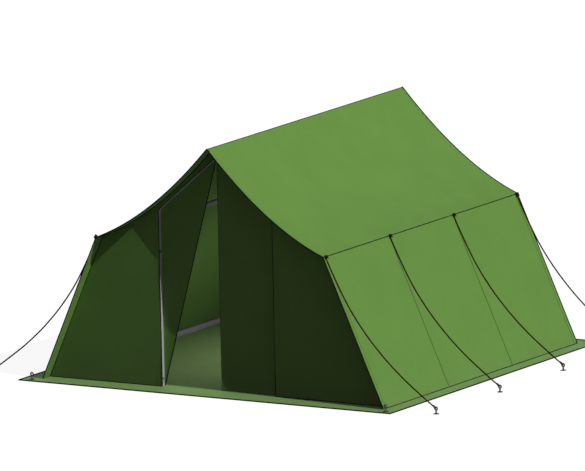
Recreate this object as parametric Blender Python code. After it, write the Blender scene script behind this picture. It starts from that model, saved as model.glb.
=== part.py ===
# Canvas ridge tent with a concave roof, a square-tube frame, guy ropes and pegs.
# Metres, +Z up. The front faces -Y, and the origin is on the ground under the middle.

import math

import bmesh
import bpy
from mathutils import Matrix, Quaternion, Vector

# Overall sizes
LENGTH = 3.85  # roof and side walls, front edge to rear edge
BASE_WIDTH = 4.00  # between the feet of the side walls
EAVE_WIDTH = 2.66
EAVE_HEIGHT = 1.50
RIDGE_HEIGHT = 2.50
ROOF_SAG = 0.12  # middle of a roof slope, below the straight line from ridge to eave
END_RECESS = 0.13  # the end walls stand this far inside the roof's edges
ROOF_STEPS = 10

# Cloth
CANVAS = 0.003
GROUND_CLOTH = 0.004
GAP = 0.0003
FLAP_REACH = 0.18  # mud flap, outside the walls
FLAP_TUCK = 0.03  # mud flap, inside the walls

# Doorway
DOOR_HALF_WIDTH = 0.665
RIDGE_SPACE = 0.0735  # from the rafters' upper edge up to the ridge
ROOF_SPACE = 0.0175  # from the rafters' upper edge up to the roof, over the posts
DOOR_LAP = 0.034  # a leaf lies this far over the back of the door frame
DOOR_CLEAR = 0.004  # under a door's lower edge
FLAP_TOP_DROP = 0.044  # a free flap starts this far below the door's top
FOLD_GAP = 0.0004  # from the fold line to each cloth edge
FOLD_LINE_LIFT = 0.0003  # the fold line lies this far inside the leaf's inner face
SEAM_GAP = 0.001
FOLD_ANGLE = 174.0  # degrees from closed to folded back

# Frame tubes
TUBE = 0.040
TUBE_DEPTH = 0.045  # of the end frames, front to back
TUBE_WALL = 0.002
COLLAR = 0.060  # from the middle of a joint to where a tube starts
SPIGOT = 0.070
EAVE_RAIL_CLEAR = 0.012  # from the rail to the eave
FLOOR_RAIL_CLEAR = 0.053  # from the rail to the wall's foot
GROUND_CUT = 0.2  # size of the block that cuts a hoop's foot level

# Straps round the door posts
STRAP = 0.0012
STRAP_WIDTH = 0.025
STRAP_HEIGHTS = {"upper": 1.38, "lower": 0.08}

# Guy ropes and pegs
ROPE_DIAMETER = 0.012
ROPE_POINTS = 72
ROPE_STEPS = 24  # between two chosen points, before the even spacing
ROPES_PER_SIDE = 4
ROPE_END_INSET = 0.035  # from the roof's edge to the first and last rope
PEG_X = 2.5855  # from the tent's middle to a guy peg
PEG_DISC_RADIUS = 0.030
PEG_DISC = 0.004
PEG_SHANK_RADIUS = 0.0085
PEG_RING_RADIUS = 0.0155
PEG_RING_WIRE = 0.0060
PEG_RING_HEIGHT = 0.055
CORNER_PEG_INSET = (0.11, 0.095)  # from the edges of the mud flap's corner

# A rope from its knot at the eave to just short of its peg, as x and z on the right side.
ROPE_ROUTE = [
    (1.3392, 1.4950),
    (1.3685, 1.4330),
    (1.4075, 1.3530),
    (1.4541, 1.2620),
    (1.5063, 1.1640),
    (1.5597, 1.0690),
    (1.6119, 0.9850),
    (1.6665, 0.9050),
    (1.7375, 0.8100),
    (1.8152, 0.7150),
    (1.8985, 0.6220),
    (1.9825, 0.5350),
    (2.0700, 0.4520),
    (2.1620, 0.3710),
    (2.2500, 0.2990),
    (2.3350, 0.2345),
    (2.4200, 0.1725),
    (2.4950, 0.1180),
]

HALF_LENGTH = LENGTH / 2
HALF_BASE = BASE_WIDTH / 2
HALF_EAVE = EAVE_WIDTH / 2
SEAT = GROUND_CLOTH + GAP  # top of the cloth on the ground, with its gap
WALL_OUTER_Y = HALF_LENGTH - END_RECESS
WALL_INNER_Y = WALL_OUTER_Y - CANVAS
STRAP_SPACE = STRAP + 2 * GAP
FRAME_OUTER_Y = WALL_INNER_Y - STRAP_SPACE
FRAME_Y = FRAME_OUTER_Y - TUBE_DEPTH / 2
FRAME_INNER_Y = FRAME_OUTER_Y - TUBE_DEPTH
LEAF_OUTER_Y = FRAME_INNER_Y - STRAP_SPACE
LEAF_INNER_Y = LEAF_OUTER_Y - CANVAS
HINGE_Y = LEAF_INNER_Y - FOLD_LINE_LIFT
POST_X = DOOR_HALF_WIDTH + TUBE / 2
EAVE_RAIL_X = HALF_EAVE - EAVE_RAIL_CLEAR - TUBE / 2
FLOOR_RAIL_X = HALF_BASE - FLOOR_RAIL_CLEAR - TUBE / 2

SIDES = {"left": -1, "right": 1}
ENDS = {"front": -1, "rear": 1}


# The shape of the tent, as x and z in one plane

def roof_height(x):
    share = abs(x) / HALF_EAVE
    straight = RIDGE_HEIGHT - (RIDGE_HEIGHT - EAVE_HEIGHT) * share
    return straight - 4 * ROOF_SAG * share * (1 - share)


# The doorway's shoulders run along the lower edge of the rafters.
RAFTER_TOP = RIDGE_HEIGHT - RIDGE_SPACE
RAFTER_LEAN = (RAFTER_TOP - roof_height(DOOR_HALF_WIDTH) + ROOF_SPACE) / DOOR_HALF_WIDTH
RAFTER_LIFT = TUBE / 2 * math.hypot(1, RAFTER_LEAN)
DOOR_TOP = RAFTER_TOP - 2 * RAFTER_LIFT
DOOR_EAVE = DOOR_TOP - RAFTER_LEAN * DOOR_HALF_WIDTH


def roof_slope(x):
    share = abs(x) / HALF_EAVE
    return (EAVE_HEIGHT - RIDGE_HEIGHT - 4 * ROOF_SAG * (1 - 2 * share)) / HALF_EAVE


def roof_normal(x):
    return Vector((-roof_slope(x), 1)).normalized()


def under_roof(x, depth):
    """The point that lies that deep below the roof's outer face at x, square to the roof."""
    return Vector((x, roof_height(x))) - roof_normal(x) * depth


def below_ridge(x, depth):
    """The height at x of a plane that deep below the roof's outer face, straight up and down."""
    return roof_height(x) - depth * math.hypot(1, roof_slope(x))


def side_wall_x(z, depth=0.0):
    """The side wall's x at height z, that deep inside its outer face."""
    lean = (HALF_BASE - HALF_EAVE) / EAVE_HEIGHT
    return HALF_EAVE + (EAVE_HEIGHT - z) * lean - depth * math.hypot(1, lean)


def crossing(point_a, along_a, point_b, along_b):
    """Where two lines in the plane cross."""
    turn = along_a.x * along_b.y - along_a.y * along_b.x
    reach = point_b - point_a
    return point_a + along_a * ((reach.x * along_b.y - reach.y * along_b.x) / turn)


def bar_outline(points, width):
    """The outline of a bar of that width along a line of points, with mitred corners."""
    sides = []
    for side in (width / 2, -width / 2):
        runs = []
        for start, end in zip(points, points[1:]):
            along = (end - start).normalized()
            across = Vector((-along.y, along.x))
            runs.append((start + across * side, end + across * side, along))
        line = [runs[0][0]]
        for before, after in zip(runs, runs[1:]):
            line.append(crossing(before[0], before[2], after[0], after[2]))
        line.append(runs[-1][1])
        sides.append(line)
    return sides[0] + sides[1][::-1]


# Building tools

def clear_scene():
    for old in list(bpy.data.objects):
        bpy.data.objects.remove(old)


def finish(name, color, roughness, metallic=0.0):
    material = bpy.data.materials.new(name)
    material.use_nodes = True
    shader = material.node_tree.nodes["Principled BSDF"]
    shader.inputs["Base Color"].default_value = (*color, 1)
    shader.inputs["Roughness"].default_value = roughness
    shader.inputs["Metallic"].default_value = metallic
    return material


def add_object(name, data, material):
    obj = bpy.data.objects.new(name, data)
    bpy.context.collection.objects.link(obj)
    data.materials.append(material)
    return obj


def mesh_object(name, bm, material, smooth=False):
    bmesh.ops.recalc_face_normals(bm, faces=bm.faces)
    mesh = bpy.data.meshes.new(name)
    bm.to_mesh(mesh)
    bm.free()
    if smooth:
        mesh.shade_smooth()
        mesh.set_sharp_from_angle(angle=math.radians(35))
    return add_object(name, mesh, material)


def prism(name, outline, low_y, high_y, material):
    """An outline in x and z, made solid from low_y to high_y."""
    bm = bmesh.new()
    face = bm.faces.new([bm.verts.new((x, low_y, z)) for x, z in outline])
    grown = bmesh.ops.extrude_face_region(bm, geom=[face])["geom"]
    moved = [item for item in grown if isinstance(item, bmesh.types.BMVert)]
    bmesh.ops.translate(bm, verts=moved, vec=(0, high_y - low_y, 0))
    return mesh_object(name, bm, material)


def block(name, low, high, material):
    """A box between two opposite corners."""
    low, high = Vector(low), Vector(high)
    bm = bmesh.new()
    place = Matrix.Translation((low + high) / 2) @ Matrix.Diagonal((*(high - low), 1))
    bmesh.ops.create_cube(bm, size=1, matrix=place)
    return mesh_object(name, bm, material)


def along_axes(start, end, across):
    """A matrix with z from start to end and y along across, at start."""
    z = (Vector(end) - Vector(start)).normalized()
    y = Vector(across)
    x = y.cross(z)
    turn = Matrix((x, y, z)).transposed().to_4x4()
    return Matrix.Translation(start) @ turn


def tube(name, start, end, across, width, depth, wall, material):
    """A square tube from start to end with open ends; depth is its size along across."""
    length = (Vector(end) - Vector(start)).length
    bm = bmesh.new()
    rings = []
    for half_x, half_y in (
        (width / 2, depth / 2),
        (width / 2 - wall, depth / 2 - wall),
    ):
        corners = ((-half_x, -half_y), (half_x, -half_y), (half_x, half_y), (-half_x, half_y))
        rings.append([[bm.verts.new((x, y, z)) for x, y in corners] for z in (0, length)])
    for i in range(4):
        j = (i + 1) % 4
        for near, far in rings:
            bm.faces.new((near[i], near[j], far[j], far[i]))
        for end_index in (0, 1):
            outer, inner = rings[0][end_index], rings[1][end_index]
            bm.faces.new((outer[i], outer[j], inner[j], inner[i]))
    bm.transform(along_axes(start, end, across))
    return mesh_object(name, bm, material)


def bar(name, start, end, across, width, depth, material):
    """A solid square bar from start to end."""
    length = (Vector(end) - Vector(start)).length
    bm = bmesh.new()
    size = Matrix.Diagonal((width, depth, length, 1))
    place = along_axes(start, end, across) @ Matrix.Translation((0, 0, length / 2)) @ size
    bmesh.ops.create_cube(bm, size=1, matrix=place)
    return mesh_object(name, bm, material)


def combine(target, helper, operation):
    """Joins a helper to the target, or cuts it away, and hides the helper."""
    helper.hide_render = True
    helper.display_type = "WIRE"
    modifier = target.modifiers.new(helper.name, "BOOLEAN")
    modifier.operation = operation
    modifier.solver = "EXACT"
    modifier.object = helper


# Canvas

def make_roof(canvas):
    for side, sign in SIDES.items():
        xs = [HALF_EAVE * i / ROOF_STEPS for i in range(ROOF_STEPS + 1)]
        outer = [Vector((x, roof_height(x))) for x in xs]
        inner = [under_roof(x, CANVAS) for x in xs]
        outer[0] = Vector((SEAM_GAP / 2, roof_height(0)))
        inner[0] = Vector((SEAM_GAP / 2, below_ridge(0, CANVAS)))
        outline = [(sign * p.x, p.y) for p in outer + inner[::-1]]
        prism(f"roof_panel_{side}", outline, -HALF_LENGTH, HALF_LENGTH, canvas)


def make_side_walls(canvas):
    top = EAVE_HEIGHT - CANVAS - GAP
    for side, sign in SIDES.items():
        outline = [
            (sign * side_wall_x(top), top),
            (sign * side_wall_x(SEAT), SEAT),
            (sign * side_wall_x(SEAT, CANVAS), SEAT),
            (sign * side_wall_x(top, CANVAS), top),
        ]
        prism(f"side_wall_{side}", outline, -HALF_LENGTH, HALF_LENGTH, canvas)


def wall_top_edge():
    """The edge of an end wall from the ridge down to its eave corner, on the right side."""
    depth = CANVAS + GAP
    xs = [HALF_EAVE * i / ROOF_STEPS for i in range(1, ROOF_STEPS)]
    corner_z = EAVE_HEIGHT - CANVAS - 3 * GAP
    corner = (side_wall_x(corner_z, CANVAS + GAP), corner_z)
    return [tuple(under_roof(x, depth)) for x in xs] + [corner]


def make_front_walls(canvas):
    seam = SEAM_GAP / 2
    outline = [
        (DOOR_HALF_WIDTH, SEAT),
        (DOOR_HALF_WIDTH, DOOR_EAVE),
        (seam, DOOR_TOP - RAFTER_LEAN * seam),
        (seam, below_ridge(0, CANVAS + GAP)),
        *wall_top_edge(),
        (side_wall_x(SEAT, CANVAS + GAP), SEAT),
    ]
    for side, sign in SIDES.items():
        turned = [(sign * x, z) for x, z in outline]
        prism(f"front_wall_{side}", turned, -WALL_OUTER_Y, -WALL_INNER_Y, canvas)


def make_rear_wall(canvas):
    right = [*wall_top_edge(), (side_wall_x(SEAT, CANVAS + GAP), SEAT)]
    left = [(-x, z) for x, z in reversed(right)]
    outline = [(0, below_ridge(0, CANVAS + GAP)), *right, *left]
    prism("rear_wall", outline, WALL_INNER_Y, WALL_OUTER_Y, canvas)


def make_ground_cloths(canvas, sheet):
    edge_x = HALF_BASE + FLAP_REACH
    edge_y = HALF_LENGTH + FLAP_REACH
    tuck_x = HALF_BASE - FLAP_TUCK
    tuck_y = WALL_INNER_Y - FLAP_TUCK
    for side, sign in SIDES.items():
        xs = sorted((sign * tuck_x, sign * edge_x))
        block(f"mud_flap_{side}", (xs[0], -edge_y, 0), (xs[1], edge_y, GROUND_CLOTH), canvas)
    inside = tuck_x - GAP
    for end, sign in ENDS.items():
        ys = sorted((sign * tuck_y, sign * edge_y))
        block(f"mud_flap_{end}", (-inside, ys[0], 0), (inside, ys[1], GROUND_CLOTH), canvas)
    deep = tuck_y - GAP
    block("groundsheet", (-inside, -deep, 0), (inside, deep, GROUND_CLOTH), sheet)


# Door: each leaf is sewn to the frame, and its free flap folds on a line from the
# top of the doorway to the foot of the post.

def fold_x(z, offset):
    """The fold line's x at height z on the right side, offset towards the post."""
    lean = DOOR_HALF_WIDTH / DOOR_TOP
    return (DOOR_TOP - z) * lean + offset * math.hypot(1, lean)


def make_doors(canvas):
    lap_top = DOOR_TOP + DOOR_LAP * math.hypot(1, RAFTER_LEAN)
    seam = SEAM_GAP / 2
    low = SEAT + DOOR_CLEAR
    start = DOOR_TOP - FLAP_TOP_DROP
    outer_x = DOOR_HALF_WIDTH + DOOR_LAP
    leaf = [
        (fold_x(low, FOLD_GAP), low),
        (outer_x, low),
        (outer_x, lap_top - RAFTER_LEAN * outer_x),
        (seam, lap_top - RAFTER_LEAN * seam),
        (seam, start + FOLD_GAP),
        (fold_x(start + FOLD_GAP, FOLD_GAP), start + FOLD_GAP),
    ]
    flap = [
        (seam, start),
        (fold_x(start, -FOLD_GAP), start),
        (fold_x(low, -FOLD_GAP), low),
        (seam, low),
    ]
    pivot = Vector((0, -HINGE_Y, DOOR_TOP))
    for side, sign in SIDES.items():
        outline = [(sign * x, z) for x, z in leaf]
        prism(f"door_leaf_{side}", outline, -LEAF_OUTER_Y, -LEAF_INNER_Y, canvas)
        outline = [(sign * x, z) for x, z in flap]
        moving = prism(f"door_flap_{side}", outline, -LEAF_OUTER_Y, -LEAF_INNER_Y, canvas)
        moving.data.transform(Matrix.Translation(-pivot))
        moving.location = pivot
        if side == "left":
            up_the_fold = Vector((DOOR_HALF_WIDTH, 0, DOOR_TOP)).normalized()
            moving.rotation_mode = "QUATERNION"
            moving.rotation_quaternion = Quaternion(up_the_fold, math.radians(FOLD_ANGLE))


# Frame

def frame_points():
    """The joints of an end frame, as x and z on the right side."""
    apex = Vector((0, DOOR_TOP + RAFTER_LIFT))
    elbow = Vector((POST_X, apex.y - RAFTER_LEAN * POST_X))
    top_x = EAVE_RAIL_X + TUBE / 2
    eave = Vector((EAVE_RAIL_X, below_ridge(top_x, CANVAS + GAP) - TUBE / 2))
    # The outer rafter runs along the roof's tangent, halfway between post and eave.
    middle_x = (POST_X + EAVE_RAIL_X) / 2
    middle = under_roof(middle_x, CANVAS + 2 * GAP + TUBE / 2)
    tangent = Vector((1, roof_slope(middle_x))).normalized()
    upright = Vector((0, 1))
    rafter_start = crossing(middle, tangent, Vector((POST_X, 0)), upright)
    rafter_end = crossing(middle, tangent, Vector((EAVE_RAIL_X, 0)), upright)
    floor = Vector((FLOOR_RAIL_X, SEAT + TUBE / 2))
    return apex, elbow, rafter_start, rafter_end, eave, floor


def spigot_bar(name, start, end, across, depth, metal):
    """The solid end that plugs into a tube."""
    inside = 2 * (TUBE_WALL + GAP)
    return bar(name, start, end, across, TUBE - inside, depth - inside, metal)


def make_end_frame(end, y_sign, metal):
    apex, elbow, rafter_start, rafter_end, eave, floor = frame_points()
    y = y_sign * FRAME_Y
    deep = (0, 1, 0)
    faces = sorted((y_sign * FRAME_OUTER_Y, y_sign * FRAME_INNER_Y))
    bore = [faces[0] + TUBE_WALL, faces[1] - TUBE_WALL]
    inner_y = y_sign * FRAME_INNER_Y
    stub_start = inner_y + y_sign * TUBE_DEPTH / 2
    stub_end = inner_y - y_sign * SPIGOT
    along = (apex - elbow).normalized()
    rafter_foot = elbow + along * COLLAR
    rafter_head = apex - along * COLLAR
    post_head = elbow - Vector((0, COLLAR))
    for side, sign in SIDES.items():
        def place(point, at_y=y):
            return Vector((sign * point.x, at_y, point.y))

        def turned(outline):
            return [(sign * p.x, p.y) for p in outline]

        name = f"{end}_{side}"
        foot = Vector((POST_X, SEAT))
        top = post_head - Vector((0, GAP))
        tube(f"post_{name}", place(foot), place(top), deep, TUBE, TUBE_DEPTH, TUBE_WALL, metal)
        tube(
            f"rafter_{name}",
            place(rafter_foot + along * GAP),
            place(rafter_head - along * GAP),
            deep,
            TUBE,
            TUBE_DEPTH,
            TUBE_WALL,
            metal,
        )

        # One bent tube from the post to the eave and down to the ground.
        leg = (floor - rafter_end).normalized()
        foot_end = floor + leg * TUBE
        shape = bar_outline([rafter_start, rafter_end, foot_end], TUBE)
        hoop = prism(f"side_hoop_{name}", turned(shape), *faces, metal)
        centre_x = sign * FLOOR_RAIL_X
        ground_cut = block(
            f"ground_cut_{name}",
            (centre_x - GROUND_CUT, faces[0] - GROUND_CUT, SEAT - GROUND_CUT),
            (centre_x + GROUND_CUT, faces[1] + GROUND_CUT, SEAT),
            metal,
        )
        combine(hoop, ground_cut, "DIFFERENCE")
        bend = (rafter_start - rafter_end).normalized()
        hollow = [rafter_start - bend * COLLAR, rafter_end, foot_end + leg * TUBE]
        shape = bar_outline(hollow, TUBE - 2 * TUBE_WALL)
        combine(hoop, prism(f"hoop_bore_{name}", turned(shape), *bore, metal), "DIFFERENCE")
        shape = bar_outline([post_head, elbow, rafter_foot], TUBE)
        combine(hoop, prism(f"elbow_head_{name}", turned(shape), *faces, metal), "UNION")
        reach = post_head - Vector((0, SPIGOT))
        plug = spigot_bar(f"post_plug_{name}", place(elbow), place(reach), deep, TUBE_DEPTH, metal)
        combine(hoop, plug, "UNION")
        reach = rafter_foot + along * SPIGOT
        plug = spigot_bar(f"rafter_plug_{name}", place(elbow), place(reach), deep, TUBE_DEPTH, metal)
        combine(hoop, plug, "UNION")
        # Square knuckle that holds the eave rail, and the floor rail's plug.
        half = Vector((TUBE / 2, TUBE / 2))
        low, high = eave - half, eave + half
        xs = sorted((sign * low.x, sign * high.x))
        knuckle = block(
            f"knuckle_{name}", (xs[0], faces[0], low.y), (xs[1], faces[1], high.y), metal
        )
        combine(hoop, knuckle, "UNION")
        for rail, centre in (("eave", eave), ("floor", floor)):
            plug = spigot_bar(
                f"{rail}_plug_{name}",
                place(centre, stub_start),
                place(centre, stub_end),
                (0, 0, 1),
                TUBE,
                metal,
            )
            combine(hoop, plug, "UNION")

    make_apex(end, y_sign, apex, along, faces, stub_start, stub_end, metal)


def ridge_beam_z():
    return below_ridge(TUBE / 2, CANVAS + GAP) - TUBE / 2


def make_apex(end, y_sign, apex, along, faces, stub_start, stub_end, metal):
    """The three-way joint where both rafters meet under the ridge beam."""
    right = apex - along * COLLAR
    left = Vector((-right.x, right.y))
    joint = prism(f"apex_joint_{end}", bar_outline([left, apex, right], TUBE), *faces, metal)
    beam_z = ridge_beam_z()
    half = TUBE / 2
    knuckle = block(
        f"ridge_knuckle_{end}",
        (-half, faces[0], apex.y - half / 2),
        (half, faces[1], beam_z + half),
        metal,
    )
    combine(joint, knuckle, "UNION")
    y = y_sign * FRAME_Y
    for sign in SIDES.values():
        tip = apex - along * (COLLAR + SPIGOT)
        start = Vector((0, y, apex.y))
        plug = spigot_bar(
            f"apex_plug_{end}_{sign}",
            start,
            Vector((sign * tip.x, y, tip.y)),
            (0, 1, 0),
            TUBE_DEPTH,
            metal,
        )
        combine(joint, plug, "UNION")
    plug = spigot_bar(
        f"ridge_plug_{end}",
        (0, stub_start, beam_z),
        (0, stub_end, beam_z),
        (0, 0, 1),
        TUBE,
        metal,
    )
    combine(joint, plug, "UNION")


def make_rails(metal):
    *_, eave, floor = frame_points()
    reach = FRAME_INNER_Y - GAP
    up = (0, 0, 1)
    for side, sign in SIDES.items():
        for rail, centre in (("eave_rail", eave), ("floor_rail", floor)):
            ends = [Vector((sign * centre.x, y, centre.y)) for y in (-reach, reach)]
            tube(f"{rail}_{side}", *ends, up, TUBE, TUBE, TUBE_WALL, metal)
    ends = [Vector((0, y, ridge_beam_z())) for y in (-reach, reach)]
    tube("ridge_beam", *ends, up, TUBE, TUBE, TUBE_WALL, metal)


def make_straps(webbing):
    outer = 2 * (GAP + STRAP)
    for side, sign in SIDES.items():
        for level, height in STRAP_HEIGHTS.items():
            low, high = height - STRAP_WIDTH / 2, height + STRAP_WIDTH / 2
            tube(
                f"post_strap_{side}_{level}",
                Vector((sign * POST_X, -FRAME_Y, low)),
                Vector((sign * POST_X, -FRAME_Y, high)),
                (0, 1, 0),
                TUBE + outer,
                TUBE_DEPTH + outer,
                STRAP,
                webbing,
            )


# Guy ropes and pegs

def smooth_route(points, count):
    """Evenly spaced points on a smooth curve through the given ones."""
    nodes = [2 * points[0] - points[1], *points, 2 * points[-1] - points[-2]]
    fine = []
    for a, b, c, d in zip(nodes, nodes[1:], nodes[2:], nodes[3:]):
        for i in range(ROPE_STEPS):
            t = i / ROPE_STEPS
            bend = 2 * a - 5 * b + 4 * c - d
            twist = 3 * b - 3 * c + d - a
            fine.append((2 * b + (c - a) * t + bend * t**2 + twist * t**3) / 2)
    fine.append(points[-1])
    lengths = [0.0]
    for a, b in zip(fine, fine[1:]):
        lengths.append(lengths[-1] + (b - a).length)
    spaced = []
    at = 0
    for i in range(count):
        goal = lengths[-1] * i / (count - 1)
        while at < len(fine) - 2 and lengths[at + 1] < goal:
            at += 1
        share = (goal - lengths[at]) / (lengths[at + 1] - lengths[at])
        spaced.append(fine[at].lerp(fine[at + 1], share))
    return spaced


def rope_rows():
    """The y of each rope, from front to rear."""
    first = HALF_LENGTH - ROPE_END_INSET
    step = 2 * first / (ROPES_PER_SIDE - 1)
    return [-first + step * i for i in range(ROPES_PER_SIDE)]


def rope_route():
    """The rope's points in x and z, with its end against the rim of its peg's ring."""
    points = [Vector(point) for point in ROPE_ROUTE]
    ring = Vector((PEG_X, PEG_RING_HEIGHT))
    rim = PEG_RING_RADIUS + PEG_RING_WIRE + GAP
    return points + [ring - (ring - points[-1]).normalized() * rim]


def make_ropes(rope):
    route = smooth_route(rope_route(), ROPE_POINTS)
    for side, sign in SIDES.items():
        for number, y in enumerate(rope_rows(), 1):
            curve = bpy.data.curves.new(f"guy_rope_{side}_{number}", "CURVE")
            curve.dimensions = "3D"
            curve.bevel_depth = ROPE_DIAMETER / 2
            curve.bevel_resolution = 2
            curve.use_fill_caps = True
            line = curve.splines.new("POLY")
            line.points.add(ROPE_POINTS - 1)
            for point, place in zip(line.points, route):
                point.co = (sign * place.x, y, place.y, 1)
            add_object(curve.name, curve, rope)


def peg_mesh(steel):
    """A ground disc, a short shank and an eye ring, as one piece."""
    disc, shank = PEG_DISC_RADIUS, PEG_SHANK_RADIUS
    shank_top = PEG_RING_HEIGHT - PEG_RING_RADIUS + PEG_RING_WIRE / 2
    profile = [(0, 0), (disc, 0), (disc, PEG_DISC), (shank, PEG_DISC), (shank, shank_top), (0, shank_top)]
    bm = bmesh.new()
    verts = [bm.verts.new((r, 0, z)) for r, z in profile]
    edges = [bm.edges.new(pair) for pair in zip(verts, verts[1:])]
    bmesh.ops.spin(
        bm,
        geom=verts + edges,
        cent=(0, 0, 0),
        axis=(0, 0, 1),
        angle=2 * math.pi,
        steps=16,
        use_merge=True,
    )
    bmesh.ops.remove_doubles(bm, verts=bm.verts, dist=1e-6)
    body = mesh_object("peg_body", bm, steel, smooth=True)
    bm = bmesh.new()
    centre = Vector((PEG_RING_RADIUS, 0, 0))
    turn = Matrix.Translation(centre) @ Matrix.Rotation(math.pi / 2, 4, "X")
    ring = bmesh.ops.create_circle(bm, segments=8, radius=PEG_RING_WIRE, matrix=turn)
    wire = {edge for vert in ring["verts"] for edge in vert.link_edges}
    bmesh.ops.spin(
        bm,
        geom=ring["verts"] + list(wire),
        cent=(0, 0, 0),
        axis=(0, 0, 1),
        angle=2 * math.pi,
        steps=20,
        use_merge=True,
    )
    upright = Matrix.Translation((0, 0, PEG_RING_HEIGHT)) @ Matrix.Rotation(math.pi / 2, 4, "X")
    bm.transform(upright)
    eye = mesh_object("peg_eye", bm, steel, smooth=True)
    combine(body, eye, "UNION")
    bpy.context.view_layer.update()
    whole = body.evaluated_get(bpy.context.evaluated_depsgraph_get())
    mesh = bpy.data.meshes.new_from_object(whole)
    mesh.name = "peg"
    bpy.data.objects.remove(body)
    bpy.data.objects.remove(eye)
    return mesh


def make_pegs(steel):
    mesh = peg_mesh(steel)
    corner_x = HALF_BASE + FLAP_REACH - CORNER_PEG_INSET[0]
    corner_y = HALF_LENGTH + FLAP_REACH - CORNER_PEG_INSET[1]
    places = {}
    for side, x_sign in SIDES.items():
        for number, y in enumerate(rope_rows(), 1):
            places[f"guy_peg_{side}_{number}"] = (x_sign * PEG_X, y, 0)
        for end, y_sign in ENDS.items():
            places[f"corner_peg_{end}_{side}"] = (x_sign * corner_x, y_sign * corner_y, SEAT)
    for name, place in places.items():
        peg = bpy.data.objects.new(name, mesh)
        bpy.context.collection.objects.link(peg)
        peg.location = place


def main():
    clear_scene()
    canvas = finish("Canvas", (0.15, 0.31, 0.07), 0.9)
    sheet = finish("Groundsheet", (0.13, 0.27, 0.07), 0.8)
    metal = finish("Grey tube", (0.27, 0.27, 0.27), 0.5, 0.3)
    webbing = finish("Webbing", (0.06, 0.13, 0.03), 0.9)
    rope = finish("Rope", (0.035, 0.02, 0.008), 0.9)
    steel = finish("Peg steel", (0.2, 0.2, 0.2), 0.4, 0.8)
    make_roof(canvas)
    make_side_walls(canvas)
    make_front_walls(canvas)
    make_rear_wall(canvas)
    make_ground_cloths(canvas, sheet)
    make_doors(canvas)
    for end, sign in ENDS.items():
        make_end_frame(end, sign, metal)
    make_rails(metal)
    make_straps(webbing)
    make_ropes(rope)
    make_pegs(steel)


main()
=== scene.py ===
# Green canvas ridge tent with guy ropes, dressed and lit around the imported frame
import bisect
import math

import bmesh
import bpy
from mathutils import Matrix, Vector
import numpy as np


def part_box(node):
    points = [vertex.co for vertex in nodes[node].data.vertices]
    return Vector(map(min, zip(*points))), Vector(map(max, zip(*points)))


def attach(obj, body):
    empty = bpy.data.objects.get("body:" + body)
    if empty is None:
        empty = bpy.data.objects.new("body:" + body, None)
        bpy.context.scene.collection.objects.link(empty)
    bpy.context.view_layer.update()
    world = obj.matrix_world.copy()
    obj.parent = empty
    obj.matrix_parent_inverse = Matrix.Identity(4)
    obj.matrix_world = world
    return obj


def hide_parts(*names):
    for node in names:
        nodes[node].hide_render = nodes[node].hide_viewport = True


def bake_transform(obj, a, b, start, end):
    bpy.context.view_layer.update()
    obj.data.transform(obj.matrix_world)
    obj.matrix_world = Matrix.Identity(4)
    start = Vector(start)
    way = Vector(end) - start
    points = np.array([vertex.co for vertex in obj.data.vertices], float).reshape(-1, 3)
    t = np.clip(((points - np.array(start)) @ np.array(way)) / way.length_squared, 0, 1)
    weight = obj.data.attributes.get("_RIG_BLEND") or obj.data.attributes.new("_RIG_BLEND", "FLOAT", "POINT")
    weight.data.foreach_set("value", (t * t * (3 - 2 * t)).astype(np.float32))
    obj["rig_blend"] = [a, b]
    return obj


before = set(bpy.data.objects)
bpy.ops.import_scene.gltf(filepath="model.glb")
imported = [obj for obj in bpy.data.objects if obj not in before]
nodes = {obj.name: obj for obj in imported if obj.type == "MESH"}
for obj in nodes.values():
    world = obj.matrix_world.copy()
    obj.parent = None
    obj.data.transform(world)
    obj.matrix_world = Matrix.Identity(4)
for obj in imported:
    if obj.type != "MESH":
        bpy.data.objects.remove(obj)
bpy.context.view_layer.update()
scene = bpy.context.scene
scene.view_settings.view_transform = "Standard"

sides = {"left": -1, "right": 1}
ends = {"front": -1, "rear": 1}

# The tent's own lines, read off the frame; x and z are in the plane of an end wall
tent = {
    "halfEave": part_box("roof_panel_right")[1].x,
    "halfBase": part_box("side_wall_right")[1].x,
    "halfLength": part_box("roof_panel_right")[1].y,
    "ridge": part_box("roof_panel_right")[1].z,
    "eave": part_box("side_wall_right")[1].z + 0.0033,  # the side wall ends that far below it
    "roofSag": 0.12,  # how far the middle of a slope hangs below the straight line
    "wallY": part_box("rear_wall")[1].y,  # outer face of the end walls
    "seat": 0.0043,  # top of the cloth on the ground
    "cloth": 0.003,
}


def roofHeight(x):
    share = abs(x) / tent["halfEave"]
    straight = tent["ridge"] - (tent["ridge"] - tent["eave"]) * share
    return straight - 4 * tent["roofSag"] * share * (1 - share)


def wallX(z):
    lean = (tent["halfBase"] - tent["halfEave"]) / tent["eave"]
    return tent["halfEave"] + (tent["eave"] - z) * lean


# Camera, placed first. Camera, first, because the cords are measured against its view
cameraView = {
    "lens": 1380.0,  # so long that the picture is almost a parallel projection
    "sensor": 36.0,
    "pictureWidth": 5.868,  # metres across the picture at the tent
    "azimuth": 31.12,
    "elevation": 10.48,
    "roll": 1.311,  # upright lines lean to the left at the top
    "target": (0.568, -1.2415, 1.5474),  # the middle of the picture
    "clipEnd": 400.0,
}


def addObject(name, data):
    made = bpy.data.objects.new(name, data)
    scene.collection.objects.link(made)
    return made


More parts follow.
